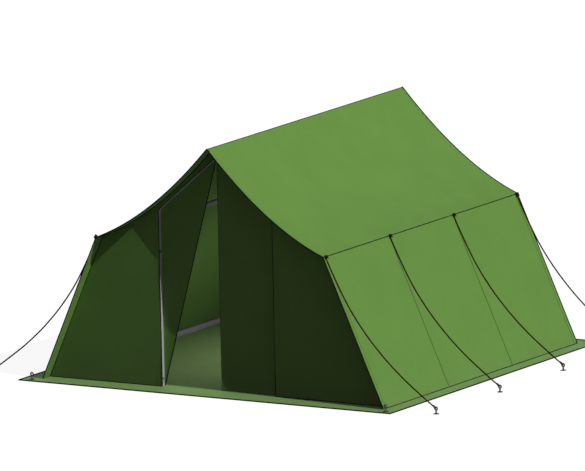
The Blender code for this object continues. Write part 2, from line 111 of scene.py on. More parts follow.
def makeCamera(view):
    azimuth, elevation = math.radians(view["azimuth"]), math.radians(view["elevation"])
    roll = math.radians(view["roll"])
    flat = math.cos(elevation)
    back = Vector((math.sin(azimuth) * flat, -math.cos(azimuth) * flat, math.sin(elevation)))
    right = Vector((math.cos(azimuth), math.sin(azimuth), 0))
    up = back.cross(right)
    rolledRight = right * math.cos(roll) - up * math.sin(roll)
    rolledUp = right * math.sin(roll) + up * math.cos(roll)
    data = bpy.data.cameras.new("camera")
    data.lens = view["lens"]
    data.sensor_width = view["sensor"]
    data.clip_end = view["clipEnd"]
    camera = addObject("camera", data)
    distance = view["pictureWidth"] * view["lens"] / view["sensor"]
    turn = Matrix((rolledRight, rolledUp, back)).transposed().to_4x4()
    camera.matrix_world = Matrix.Translation(Vector(view["target"]) + back * distance) @ turn
    scene.camera = camera


makeCamera(cameraView)
print("camera placed")


# Finishes

def hexColor(text):
    parts = [int(text[i:i + 2], 16) / 255 for i in (1, 3, 5)]
    linear = [c / 12.92 if c <= 0.04045 else ((c + 0.055) / 1.055) ** 2.4 for c in parts]
    return (*linear, 1)


def setInputs(tree, node, inputs):
    # An input takes its value, or a link where it is given another node's output
    for name, value in inputs.items():
        if isinstance(value, bpy.types.NodeSocket):
            tree.links.new(value, node.inputs[name])
        else:
            node.inputs[name].default_value = value


def addNode(tree, kind, inputs=None, out=None, **settings):
    # Gives back the node, or its output of that name or number
    made = tree.nodes.new("ShaderNode" + kind)
    for name, value in settings.items():
        setattr(made, name, value)
    setInputs(tree, made, inputs or {})
    return made if out is None else made.outputs[out]


def startMaterial(name, finish):
    material = bpy.data.materials.new(name)
    material.use_nodes = True
    tree = material.node_tree
    shader = tree.nodes["Principled BSDF"]
    metallic, gloss = finish.get("metallic", 0.0), finish.get("gloss", 0.5)
    inputs = {"Roughness": finish["roughness"], "Metallic": metallic, "Specular IOR Level": gloss}
    setInputs(tree, shader, inputs)
    return material, tree, shader


def paintLayers(tree, shader, base, layers):
    # Lays each layer's colour over those before it, where its mask is 1
    color = hexColor(base)
    for mask, tone in layers:
        mixed = {"Factor": mask, "A": color, "B": hexColor(tone)}
        color = addNode(tree, "Mix", mixed, "Result", data_type="RGBA")
    setInputs(tree, shader, {"Base Color": color})


def waveScale(millimetres):  # a band texture's scale for that spacing
    return 2 * math.pi / 20 / (millimetres / 1000)


def noiseScale(millimetres):
    return 1000 / millimetres


# Woven cotton canvas: matt, with a plain weave, thicker threads here and there, uneven dye and
# some dust along the ground. The real weave is about 0.8 mm, drawn at 3 mm so that it can show.
canvasFinish = {
    "color": "#6C9847",
    "deepDye": "#689344",
    "dust": "#77875A",
    "roughness": 0.95,
    "gloss": 0.12,
    "weave": 3.0,
    "weaveDepth": (0.35, 0.0004),  # strength and height of the relief
    "slub": (0.12, 0.004),  # length and width of a thicker thread, in metres
    "dyePatch": 420,
    "dyeRange": (0.15, 0.35),
    "dustTop": 0.22,
    "dustMost": 0.4,
    "wrinkle": 260,
    "wrinkleDepth": (0.35, 0.006),
}


def makeClothMaterial(name, finish):
    material, tree, shader = startMaterial(name, finish)
    place = addNode(tree, "TexCoord")
    uv, point = place.outputs["UV"], place.outputs["Object"]
    blotches = {"Vector": point, "Scale": noiseScale(finish["dyePatch"]), "Detail": 4.0}
    patches = addNode(tree, "TexNoise", blotches, "Fac")
    length, width = finish["slub"]
    threadSpace = addNode(tree, "Mapping", {"Vector": uv, "Scale": (1 / length, 1 / width, 1)}, "Vector")
    slubs = addNode(tree, "TexNoise", {"Vector": threadSpace, "Scale": 1.0, "Detail": 2.0}, "Fac")
    dye = addNode(tree, "Math", {0: patches, 1: slubs}, 0, operation="MULTIPLY")
    lowest, highest = finish["dyeRange"]
    dyed = addNode(tree, "MapRange", {"Value": dye, "From Min": lowest, "From Max": highest}, 0)
    z = addNode(tree, "SeparateXYZ", {"Vector": point}, "Z")
    nearGround = {"Value": z, "From Min": finish["dustTop"], "From Max": 0.0, "To Max": finish["dustMost"]}
    low = addNode(tree, "MapRange", nearGround, 0)
    dusty = addNode(tree, "Math", {0: low, 1: patches}, 0, operation="MULTIPLY")
    paintLayers(tree, shader, finish["color"], [(dyed, finish["deepDye"]), (dusty, finish["dust"])])
    bands = {"Vector": uv, "Scale": waveScale(finish["weave"]), "Distortion": 0.6, "Detail": 1.0}
    warp, weft = [addNode(tree, "TexWave", bands, "Fac", bands_direction=way) for way in ("X", "Y")]
    weave = addNode(tree, "Math", {0: warp, 1: weft}, 0, operation="ADD")
    strength, distance = finish["weaveDepth"]
    fine = addNode(tree, "Bump", {"Height": weave, "Strength": strength, "Distance": distance}, "Normal")
    creases = {"Vector": point, "Scale": noiseScale(finish["wrinkle"]), "Detail": 3.0, "Roughness": 0.45}
    wrinkles = addNode(tree, "TexNoise", creases, "Fac")
    strength, distance = finish["wrinkleDepth"]
    broad = {"Height": wrinkles, "Strength": strength, "Distance": distance, "Normal": fine}
    setInputs(tree, shader, {"Normal": addNode(tree, "Bump", broad, "Normal")})
    return material


canvas = makeClothMaterial("woven cotton canvas", canvasFinish)

# The roof has a thin grey proofing inside, between the end walls, so it is duller and less green
proofedFinish = dict(canvasFinish, color="#575759", deepDye="#505052", roughness=0.75)
proofedCanvas = makeClothMaterial("proofed canvas, roof inside", proofedFinish)

# Coated polyester for the mud flaps and the groundsheet: paler, smoother, a little dusty
coatedFinish = dict(
    canvasFinish, color="#7AA35B", deepDye="#719952", dust="#8A9A70", roughness=0.7, gloss=0.25,
    weave=4.0, slub=(0.3, 0.006), dyePatch=300, dustTop=0.05, wrinkle=160,
)
coatedCloth = makeClothMaterial("coated polyester", coatedFinish)
# The same cloth on the floor inside, its colour painted a little darker to stand in for the shade it lies in
shadedFloorFinish = dict(coatedFinish, color="#6B974D", deepDye="#648C46")
shadedFloorCloth = makeClothMaterial("coated polyester, darkened for shade", shadedFloorFinish)

# Sewn tape and hems: the same canvas in two layers, with a row of stitches near each edge and, on most, a
# band of painted shade along each edge where the tape steps up from the cloth.
# Real stitches are 3 mm long and 0.5 mm thick, drawn at 9 mm and 1.6 mm so that they show.
stitchFinish = {
    "thread": "#4C6B34",
    "length": 9.0,
    "gap": 0.35,  # share of that length where the thread is out of sight
    "thickness": 0.0016,
    "fromEdge": 0.004,
    "grain": 7,
    "relief": (0.4, 0.0006),
    "edgeShade": "#4D7032",  # painted shade along the step at a tape's edge, this far in from it
    "edgeShadeWidth": 0.008,
}


def makeSewnMaterial(name, width, shadedEdges=True):
    material, tree, shader = startMaterial(name, canvasFinish)
    place = addNode(tree, "TexCoord")
    uv, point = place.outputs["UV"], place.outputs["Object"]
    aside = addNode(tree, "SeparateXYZ", {"Vector": uv}, "Y")
    across = addNode(tree, "Math", {0: aside}, 0, operation="ABSOLUTE")
    row = width / 2 - stitchFinish["fromEdge"]
    offset = addNode(tree, "Math", {0: across, 1: row}, 0, operation="SUBTRACT")
    away = addNode(tree, "Math", {0: offset}, 0, operation="ABSOLUTE")
    inRow = addNode(tree, "Math", {0: away, 1: stitchFinish["thickness"] / 2}, 0, operation="LESS_THAN")
    spacing = {"Vector": uv, "Scale": waveScale(stitchFinish["length"]), "Detail": 0.0}
    dashes = addNode(tree, "TexWave", spacing, "Fac", bands_direction="X")
    onThread = addNode(tree, "Math", {0: dashes, 1: stitchFinish["gap"]}, 0, operation="GREATER_THAN")
    stitch = addNode(tree, "Math", {0: inRow, 1: onThread}, 0, operation="MULTIPLY")
    threads = {"Vector": point, "Scale": noiseScale(stitchFinish["grain"]), "Detail": 3.0}
    grain = addNode(tree, "TexNoise", threads, "Fac")
    layers = [(grain, canvasFinish["deepDye"])]
    # A darker band along each edge of the tape: painted shade where it steps up from the cloth
    if shadedEdges:
        inner = width / 2 - stitchFinish["edgeShadeWidth"]
        step = addNode(tree, "Math", {0: across, 1: inner}, 0, operation="GREATER_THAN")
        layers.append((step, stitchFinish["edgeShade"]))
    layers.append((stitch, stitchFinish["thread"]))
    paintLayers(tree, shader, canvasFinish["color"], layers)
    height = addNode(tree, "Math", {0: stitch, 1: grain}, 0, operation="ADD")
    strength, distance = stitchFinish["relief"]
    bump = addNode(tree, "Bump", {"Height": height, "Strength": strength, "Distance": distance}, "Normal")
    setInputs(tree, shader, {"Normal": bump})
    return material


tapeWidths = {"hem": 0.050, "seam": 0.014}
# The roof's and doorway's hems have no band of painted edge shade; side hems and seams have it
roofHemCloth = makeSewnMaterial("sewn canvas hem, no painted edge shade", tapeWidths["hem"], shadedEdges=False)
hemCloth = makeSewnMaterial("sewn canvas hem", tapeWidths["hem"])
seamCloth = makeSewnMaterial("felled canvas seam", tapeWidths["seam"])

# Bound edges: dark green cotton binding rolled over a core, matt with a fine cross rib
bindingFinish = {
    "color": "#0B1007",
    "worn": "#172010",
    "roughness": 0.95,
    "gloss": 0.1,
    "wear": {"Scale": noiseScale(60), "Detail": 5.0},
    "rib": {"Scale": waveScale(2.0), "Distortion": 1.0},
    "ribWay": "DIAGONAL",
    "relief": (0.3, 0.0003),
}
# Laid hemp rope, tarred brown: hairy and matt, darker between the strands
ropeFinish = {
    "color": "#1B0F05",
    "worn": "#432A10",
    "roughness": 0.95,
    "gloss": 0.1,
    "wear": {"Scale": noiseScale(2.5), "Detail": 6.0, "Roughness": 0.7},
    "relief": (0.6, 0.0006),
}
# Polypropylene webbing: leaf green, slightly shiny, ribbed across
webbingFinish = {
    "color": "#5E8F3C",
    "worn": "#4C7630",
    "roughness": 0.55,
    "wear": {"Scale": noiseScale(12), "Detail": 4.0},
    "rib": {"Scale": waveScale(2.4), "Distortion": 0.4},
    "ribWay": "Z",
    "relief": (0.5, 0.0005),
}
# Black rubber for the collars near the posts' feet: matt, finely pitted
rubberFinish = {"color": "#141414", "worn": "#262523", "roughness": 0.8, "wear": {"Scale": noiseScale(3)}}


def makeWornMaterial(name, finish):
    # Two tones that wear into each other, over a relief of ribs or of the wear itself
    material, tree, shader = startMaterial(name, finish)
    point = addNode(tree, "TexCoord", out="Object")
    wear = addNode(tree, "TexNoise", {"Vector": point, **finish["wear"]}, "Fac")
    paintLayers(tree, shader, finish["color"], [(wear, finish["worn"])])
    height = wear
    if "rib" in finish:
        ribs = {"Vector": point, **finish["rib"]}
        height = addNode(tree, "TexWave", ribs, "Fac", bands_direction=finish["ribWay"])
    if "relief" in finish:
        strength, distance = finish["relief"]
        relief = {"Height": height, "Strength": strength, "Distance": distance}
        setInputs(tree, shader, {"Normal": addNode(tree, "Bump", relief, "Normal")})
    return material


binding = makeWornMaterial("cotton edge binding", bindingFinish)
ropeFibre = makeWornMaterial("tarred hemp", ropeFinish)

# Aluminium tube, anodised grey: satin, with scuffs where it is handled
tubeFinish = {"color": "#B4B2B7", "scuff": "#BFBDC1", "roughness": 0.5, "metallic": 0.1, "scuffSize": 25}
# Pegs and spring buttons: galvanised steel, dull grey, black with soil near the ground
pegFinish = {"color": "#535355", "scuff": "#3A3936", "roughness": 0.65, "metallic": 0.15, "scuffSize": 9}
soil = {"color": "#0E0D0A", "from": 0.013, "to": 0.0095}  # fades in between these heights
metalMarks = {
    "range": (0.52, 0.75),  # part of the noise that becomes scuffs
    "roughness": (-0.08, 0.14),  # how far they change the metal's own
    "relief": (0.15, 0.0004),
}


def makeMetalMaterial(name, finish, stained=None):
    material, tree, shader = startMaterial(name, finish)
    point = addNode(tree, "TexCoord", out="Object")
    scuffs = {"Vector": point, "Scale": noiseScale(finish["scuffSize"]), "Detail": 8.0, "Roughness": 0.65}
    marks = addNode(tree, "TexNoise", scuffs, "Fac")
    lowest, highest = metalMarks["range"]
    amount = addNode(tree, "MapRange", {"Value": marks, "From Min": lowest, "From Max": highest}, 0)
    layers = [(amount, finish["scuff"])]
    if stained:
        z = addNode(tree, "SeparateXYZ", {"Vector": point}, "Z")
        fade = {"Value": z, "From Min": stained["from"], "From Max": stained["to"]}
        layers.append((addNode(tree, "MapRange", fade, 0), stained["color"]))
    paintLayers(tree, shader, finish["color"], layers)
    smoother, rougher = metalMarks["roughness"]
    own = finish["roughness"]
    satin = {"Value": marks, "To Min": own + smoother, "To Max": own + rougher}
    strength, distance = metalMarks["relief"]
    bump = addNode(tree, "Bump", {"Height": marks, "Strength": strength, "Distance": distance}, "Normal")
    setInputs(tree, shader, {"Roughness": addNode(tree, "MapRange", satin, 0), "Normal": bump})
    return material


tubeMetal = makeMetalMaterial("anodised aluminium", tubeFinish)
pegSteel = makeMetalMaterial("galvanised steel", pegFinish, soil)
webbing = makeWornMaterial("polypropylene webbing", webbingFinish)
rubber = makeWornMaterial("black rubber", rubberFinish)
print("finishes made")


# Tools for new pieces

def meshFrom(name, bm, smoothAngle=35):
    mesh = bpy.data.meshes.new(name)
    bm.to_mesh(mesh)
    bm.free()
    mesh.shade_smooth()
    mesh.set_sharp_from_angle(angle=math.radians(smoothAngle))
    return mesh


def addPiece(name, shape, replaced=(), body="tent", materials=(canvas,)):
    # From a mesh, a curve, or a bmesh that is finished here
    data = meshFrom(name, shape) if isinstance(shape, bmesh.types.BMesh) else shape
    piece = addObject(name, data)
    data.materials.clear()
    for material in materials:
        data.materials.append(material)
    if body:
        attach(piece, body)
    if replaced:
        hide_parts(*replaced)
    return piece


def polygonArea(outline):
    pairs = zip(outline, outline[1:] + outline[:1])
    return abs(sum(x1 * y2 - x2 * y1 for (x1, y1), (x2, y2) in pairs)) / 2


def cutAcross(bm, at, normal, snap=1e-5):
    everything = bm.verts[:] + bm.edges[:] + bm.faces[:]
    bmesh.ops.bisect_plane(bm, geom=everything, dist=snap, plane_co=at, plane_no=normal)


def cutCloth(outline, step):
    # A flat panel in its own plane, cut into squares, with its own metres as UVs
    bm = bmesh.new()
    bm.faces.new([bm.verts.new((a, b, 0)) for a, b in outline])
    for axis, normal in enumerate((Vector((1, 0, 0)), Vector((0, 1, 0)))):
        spots = [point[axis] for point in outline]
        low, high = min(spots), max(spots)
        count = max(1, round((high - low) / step))
        for i in range(1, count):
            cutAcross(bm, normal * (low + (high - low) * i / count), normal)
    uv = bm.loops.layers.uv.new("UVMap")
    for face in bm.faces:
        for loop in face.loops:
            loop[uv].uv = loop.vert.co.xy
    return bm


def ease(value, low, high):
    share = min(1, max(0, (value - low) / (high - low)))
    return share * share * (3 - 2 * share)


# The in and out of taut cloth: its mean and swing are shares of the depth, the rest places its waves
slackWave = {"mean": 0.6, "swing": 0.4, "startA": 0.8, "startB": 0.3, "stretchB": 0.8, "seamHold": 0.01}


def slack(bm, depth, spacing, margin=0.12, border=0.0, seams=()):
    # Taut cloth still moves in and out a little, away from its sewn edges and seams
    spots = [vert.co.copy() for vert in bm.verts]
    low = [min(spot[i] for spot in spots) for i in (0, 1)]
    high = [max(spot[i] for spot in spots) for i in (0, 1)]
    for vert in bm.verts:
        a, b = vert.co.x, vert.co.y
        hold = 1
        for value, start, end, rim in ((a, low[0], high[0], border), (b, low[1], high[1], 0)):
            hold *= ease(value - start, rim, rim + margin) * ease(end - value, rim, rim + margin)
        for seam in seams:
            hold *= ease(abs(a - seam), slackWave["seamHold"], margin * 2)
        across = math.sin(a * 2 * math.pi / spacing + slackWave["startA"])
        down = math.cos(b * 2 * math.pi / spacing * slackWave["stretchB"] + slackWave["startB"])
        vert.co.z -= depth * hold * (slackWave["mean"] + slackWave["swing"] * (across * down))


def closeCloth(bm, place, thickness, facing):
    # Puts the panel in place and gives it its thickness, behind the face that shows
    bm.transform(place)
    bm.normal_update()
    middle = sum((face.normal * face.calc_area() for face in bm.faces), Vector())
    if middle.dot(Vector(facing)) < 0:
        bmesh.ops.reverse_faces(bm, faces=bm.faces)
    bmesh.ops.solidify(bm, geom=bm.faces[:], thickness=thickness)
    bmesh.ops.recalc_face_normals(bm, faces=bm.faces)


def planeFrom(origin, axisA, axisB):
    a, b = Vector(axisA).normalized(), Vector(axisB).normalized()
    turn = Matrix((a, b, a.cross(b))).transposed().to_4x4()
    return Matrix.Translation(origin) @ turn


def newVerts(grown):
    return [item for item in grown["geom"] if isinstance(item, bmesh.types.BMVert)]


def addTapes(name, paths, across, width, thickness, material):
    # Strips of tape, each extruded along its path from a first edge, and thick to both sides of it
    bm = bmesh.new()
    for layer in ("along", "aside"):
        bm.verts.layers.float.new(layer)
    along, aside = bm.verts.layers.float["along"], bm.verts.layers.float["aside"]
    half = Vector(across).normalized() * width / 2
    for path in paths:
        path = [Vector(point) for point in path]
        pair = []
        for side in (-1, 1):
            vert = bm.verts.new(path[0] + half * side)
            vert[aside] = side * width / 2
            pair.append(vert)
        edge = bm.edges.new(pair)
        travelled = 0
        for start, end in zip(path, path[1:]):
            travelled += (end - start).length
            moved = newVerts(bmesh.ops.extrude_edge_only(bm, edges=[edge]))
            bmesh.ops.translate(bm, verts=moved, vec=end - start)
            for vert in moved:
                vert[along] = travelled
            edge = bm.edges.get(moved)
    uv = bm.loops.layers.uv.new("UVMap")
    for face in bm.faces:
        for loop in face.loops:
            loop[uv].uv = (loop.vert[along], loop.vert[aside])
    bm.normal_update()
    bmesh.ops.solidify(bm, geom=bm.faces[:], thickness=thickness)
    bmesh.ops.recalc_face_normals(bm, faces=bm.faces)
    return addPiece(name, bm, materials=[material])


def curveThrough(name, paths, dimensions="3D", closed=False):
    curve = bpy.data.curves.new(name, "CURVE")
    curve.dimensions = dimensions
    for path in paths:
        line = curve.splines.new("POLY")
        line.points.add(len(path) - 1)
        for point, spot in zip(line.points, path):
            point.co = (*spot, 1)
        line.use_cyclic_u = closed
    return curve


def addPipe(name, paths, radius, body="tent", slotName="canvas", material=binding, closed=False):
    # Round cord or binding along one or more paths
    curve = curveThrough(name, paths, closed=closed)
    curve.bevel_depth = radius
    curve.bevel_resolution = 2
    curve.use_fill_caps = True
    return addPiece(name, curve, (), body, [material])


def findAlong(lengths, goal):
    # Which stretch of a line holds that distance, and the share of it that lies before
    at = min(len(lengths) - 2, max(0, bisect.bisect_right(lengths, goal) - 1))
    return at, (goal - lengths[at]) / (lengths[at + 1] - lengths[at])


# Guy ropes. The route is the frame's own, from the eave to the peg's ring, as x and z.
guyRope = {
    "route": [
        (1.3392, 1.4950), (1.3685, 1.4330), (1.4075, 1.3530), (1.4541, 1.2620), (1.5063, 1.1640),
        (1.5597, 1.0690), (1.6119, 0.9850), (1.6665, 0.9050), (1.7375, 0.8100), (1.8152, 0.7150),
        (1.8985, 0.6220), (1.9825, 0.5350), (2.0700, 0.4520), (2.1620, 0.3710), (2.2500, 0.2990),
        (2.3350, 0.2345), (2.4200, 0.1725), (2.4950, 0.1180), (2.5676, 0.0675),
    ],
    "diameter": 0.012,
    "rows": (-1.89, -0.63, 0.63, 1.89),
    "lay": 0.042,  # one turn of the strands, 3.5 diameters
    "pointsPerTurn": (3, 7),
    "strands": 3,
    "crown": 0.0083,  # from the middle to the top of a strand
    "strandDepth": 0.06,  # half the depth of a groove, as a share of that
    "fineSteps": 24,
}


def smoothRoute(points, count):
    # Evenly spaced points on a smooth curve through the given ones
    spots = [Vector(point) for point in points]
    spots = [2 * spots[0] - spots[1], *spots, 2 * spots[-1] - spots[-2]]
    fine = []
    for a, b, c, d in zip(spots, spots[1:], spots[2:], spots[3:]):
        for i in range(guyRope["fineSteps"]):
            t = i / guyRope["fineSteps"]
            bend = 2 * a - 5 * b + 4 * c - d
            twist = 3 * b - 3 * c + d - a
            fine.append((2 * b + (c - a) * t + bend * t**2 + twist * t**3) / 2)
    fine.append(spots[-2])
    lengths = [0.0]
    for a, b in zip(fine, fine[1:]):
        lengths.append(lengths[-1] + (b - a).length)
    spaced = []
    for i in range(count):
        at, share = findAlong(lengths, lengths[-1] * i / (count - 1))
        spaced.append(fine[at].lerp(fine[at + 1], share))
    return spaced, lengths[-1]


def ropeSection(rope):
    # The outline of three strands, which the rope's curve carries along and twists
    count = rope["strands"] * 4
    outline = []
    for i in range(count):
        angle = 2 * math.pi * i / count
        dip = rope["strandDepth"] * (1 - math.cos(rope["strands"] * angle))
        radius = rope["crown"] * (1 - dip)
        outline.append((radius * math.cos(angle), radius * math.sin(angle), 0))
    return addObject("rope section", curveThrough("rope section", [outline], "2D", True))


def makeRopes(rope):
    turns = smoothRoute(rope["route"], 2)[1] / rope["lay"]
    count = round(turns * rope["pointsPerTurn"][1])
    route, length = smoothRoute(rope["route"], count)
    section = ropeSection(rope)
    made = {}
    for side, sign in sides.items():
        for number, y in enumerate(rope["rows"], 1):
            name = f"hemp_rope_{side}_{number}"
            spots = [(sign * spot.x, y, spot.y) for spot in route]
            curve = curveThrough(name, [spots])
            curve.bevel_mode = "OBJECT"
            curve.bevel_object = section
            curve.use_fill_caps = True
            for i, point in enumerate(curve.splines[0].points):
                point.tilt = 2 * math.pi * turns * i / (count - 1)
            shaped = addObject(name, curve)
            bpy.context.view_layer.update()
            whole = shaped.evaluated_get(bpy.context.evaluated_depsgraph_get())
            mesh = bpy.data.meshes.new_from_object(whole)
            bpy.data.objects.remove(shaped)
            mesh.shade_smooth()
            piece = addPiece(name, mesh, [f"guy_rope_{side}_{number}"], "tent", [ropeFibre])
            piece.visible_shadow = False  # the photo's ropes cast none on the wall
            made[side, number] = (piece, spots[::3] + [spots[-1]], length)
    bpy.data.objects.remove(section)
    return made


# The ring on a guy peg's head, which a rope's hitch goes round
pegRing = {"x": 2.5855, "height": 0.055, "radius": 0.0148, "wire": 0.0075}

# Knots: a barrel of turns at the eave, and a round turn with a whipped barrel at the peg.
# What is given as shares is in radii of the rope in a knot.
knot = {
    "strand": 0.0050,  # that radius, pulled tight
    "eaveTurns": 3,
    "eaveRadius": 0.0108,
    "cornerGrowth": 1.1,  # the corner knots are tied with a doubled end
    "eaveLift": (0.011, 0.007),  # from the rope's start, outwards and up
    "coreShares": (3.2, 3.6),  # how far the rope shows before and after the turns
    "eaveTail": (0.016, 0.012, -0.018),
    "hitchTurns": 2,
    "hitchShare": 0.8,
    "laidShares": (1.4, 1.6),  # height of the laid-back end over the rope, at its two ends
    "tail": 0.024,
    "twine": 0.0016,
    "whipTurns": 5,
    "whipStart": 0.013,  # from the rope's end back to the whipping
    "whipShares": (0.7, 1.75),  # its lift and its radius
    "perTurn": 12,
}


def helix(centre, axis, radius, turns, pitch):
    axis = Vector(axis).normalized()
    start = axis.orthogonal().normalized()
    other = axis.cross(start)
    points = []
    count = round(turns * knot["perTurn"])
    for i in range(count + 1):
        angle = 2 * math.pi * turns * i / count
        spot = start * math.cos(angle) + other * math.sin(angle)
        points.append(centre + spot * radius + axis * pitch * turns * (i / count - 0.5))
    return points


def makeKnots(ropes):
    strand, twine, tight = knot["strand"], knot["twine"], knot["hitchShare"]
    for (side, number), (rope, path, length) in ropes.items():
        sign, y = sides[side], guyRope["rows"][number - 1]
        growth = knot["cornerGrowth"] if number in (1, len(guyRope["rows"])) else 1
        first, last = Vector(path[0]), Vector(path[-1])
        along = (Vector(path[2]) - first).normalized()
        outward, upward = knot["eaveLift"]
        centre = first + Vector((sign * outward, 0, upward))
        coil = helix(centre, along, knot["eaveRadius"] * growth, knot["eaveTurns"], 2 * strand)
        before, after = knot["coreShares"]
        core = [centre - along * strand * before, centre + along * strand * after]
        tailX, tailY, tailZ = knot["eaveTail"]
        tail = [centre - along * strand, centre + Vector((sign * tailX, tailY, tailZ))]
        inRope = ("tent", "rope", ropeFibre)
        eave = addPipe(f"eave_knot_{side}_{number}", [coil, core, tail], strand * growth, *inRope)
        ring = Vector((sign * pegRing["x"], y, pegRing["height"]))
        toRing = (ring - last).normalized()
        wireSpot = ring - toRing * pegRing["radius"]
        tangent = toRing.cross(Vector((0, 1, 0)))
        wound = pegRing["wire"] + strand * tight
        turn = helix(wireSpot, tangent, wound, knot["hitchTurns"], 2 * strand * tight)
        over = Vector((0, 0, 1)).cross(toRing).cross(toRing).normalized()
        over = -over if over.z < 0 else over
        back = last - toRing * knot["tail"]
        near, far = knot["laidShares"]
        laid = [last + over * strand * near, back + over * strand * far]
        loops = addPipe(f"peg_hitch_{side}_{number}", [turn, laid], strand * tight, *inRope)
        lift, radius = knot["whipShares"]
        spot = last - toRing * knot["whipStart"] + over * strand * lift
        whips = helix(spot, toRing, strand * radius, knot["whipTurns"], 2 * twine)
        whipping = addPipe(f"peg_whipping_{side}_{number}", [whips], twine, *inRope)


makeKnots(makeRopes(guyRope))
print("ropes and knots made")


# How the cloths are sewn: distances from a cloth's face, and from its edges
sewing = {
    "tapeLift": 0.0004,  # from the face to the middle of a tape
    "pipeLift": 0.001,  # and to the middle of a bound seam
    "hemInset": 0.027,
    "tapeStart": 0.004,  # a tape stops short of the cloth's edge
    "footLift": 0.003,
    "footInset": 0.0015,  # an end wall's foot from the side wall's outer face
}

# Roof: one sheet from eave to eave, bent over the ridge and hanging in a curve between
roofCloth = {
    "step": 0.055,
    "slack": 0.004,
    "slackSpacing": 1.5,
    "slackStart": 0.5,
    "slackDown": 2.4,
    "tight": {"end": 0.3, "ridge": (0.02, 0.3), "eave": 0.25},  # no slack nearer than this
    "hemThickness": 0.0009,
    "pipe": 0.0068,
    "linePipe": 0.0046,
    "lineSink": 0.6,  # share of that pipe's radius that lies below the roof's face
    "curveSteps": 400,
    "edgeSteps": 48,
}


def roofTable(steps):
    xs = [tent["halfEave"] * i / steps for i in range(steps + 1)]
    arcs = [0.0]
    for a, b in zip(xs, xs[1:]):
        arcs.append(arcs[-1] + math.hypot(b - a, roofHeight(b) - roofHeight(a)))
    return xs, arcs


roofXs, roofArcs = roofTable(roofCloth["curveSteps"])
roofArc = roofArcs[-1]


def roofSpot(arc, lift=0.0):
    # The place on the roof's outer face at that distance down from the ridge, as x and z
    sign = -1 if arc < 0 else 1
    at, share = findAlong(roofArcs, min(abs(arc), roofArc))
    x = roofXs[at] + (roofXs[at + 1] - roofXs[at]) * share
    rise = (roofHeight(roofXs[at + 1]) - roofHeight(roofXs[at])) / (roofXs[at + 1] - roofXs[at])
    normal = Vector((-rise, 1)).normalized()
    return sign * (x + normal.x * lift), roofHeight(x) + normal.y * lift


def roofLine(y):
    steps = roofCloth["edgeSteps"]
    spots = [roofSpot(roofArc * i / steps) for i in range(-steps, steps + 1)]
    return [(x, y, z) for x, z in spots]


def makeRoof(cloth):
    half, wall = tent["halfLength"], tent["wallY"]
    outline = [(-half, -roofArc), (half, -roofArc), (half, 0), (half, roofArc), (-half, roofArc), (-half, 0)]
    bm = cutCloth(outline, cloth["step"])
    cutAcross(bm, (0, 0, 0), (0, 1, 0))
    for sign in ends.values():
        cutAcross(bm, (sign * wall, 0, 0), (1, 0, 0), 1e-4)
    rim, tight = half - wall, cloth["tight"]
    for vert in bm.verts:
        y, arc = vert.co.x, vert.co.y
        hold = ease(half - abs(y), rim, rim + tight["end"]) * ease(abs(arc), *tight["ridge"])
        hold *= ease(roofArc - abs(arc), 0, tight["eave"])
        wave = math.sin(y * 2 * math.pi / cloth["slackSpacing"] + cloth["slackStart"])
        sink = cloth["slack"] * hold * (0.5 + 0.5 * wave * math.cos(arc * cloth["slackDown"]))
        x, z = roofSpot(arc, -sink)
        vert.co = (x, y, z)
    closeCloth(bm, Matrix.Identity(4), tent["cloth"], (0, 0, 1))
    bm.normal_update()
    for face in bm.faces:
        between = abs(face.calc_center_median().y) < wall
        face.material_index = 1 if face.normal.z < -0.1 and between else 0
    panels = ["roof_panel_left", "roof_panel_right"]
    roof = addPiece("roof_sheet", bm, panels, materials=[canvas, proofedCanvas])
    paths = [roofLine(sign * (half - sewing["hemInset"])) for sign in ends.values()]
    hems = addTapes("roof_hems", paths, (0, 1, 0), tapeWidths["hem"], cloth["hemThickness"], roofHemCloth)
    bound = addPipe("roof_bound_edges", [roofLine(sign * half) for sign in ends.values()], cloth["pipe"])
    tops = [(0, tent["ridge"])] + [(sign * tent["halfEave"], tent["eave"]) for sign in sides.values()]
    sink = cloth["linePipe"] * cloth["lineSink"]
    lines = [[(x, y, z - sink) for y in (-half, half)] for x, z in tops]
    piping = addPipe("ridge_and_eave_piping", lines, cloth["linePipe"])


# Side walls: a plain panel from eave to ground on a slope, seamed at each rope
sideCloth = {
    "step": 0.13,
    "slack": 0.006,
    "slackSpacing": 1.25,
    "tapeThickness": 0.0011,
    "tapeTop": 0.002,
    "headDrop": 0.001,
    "pipe": 0.0058,
    "footPipe": 0.0044,
    "footPipeUp": 0.002,
}


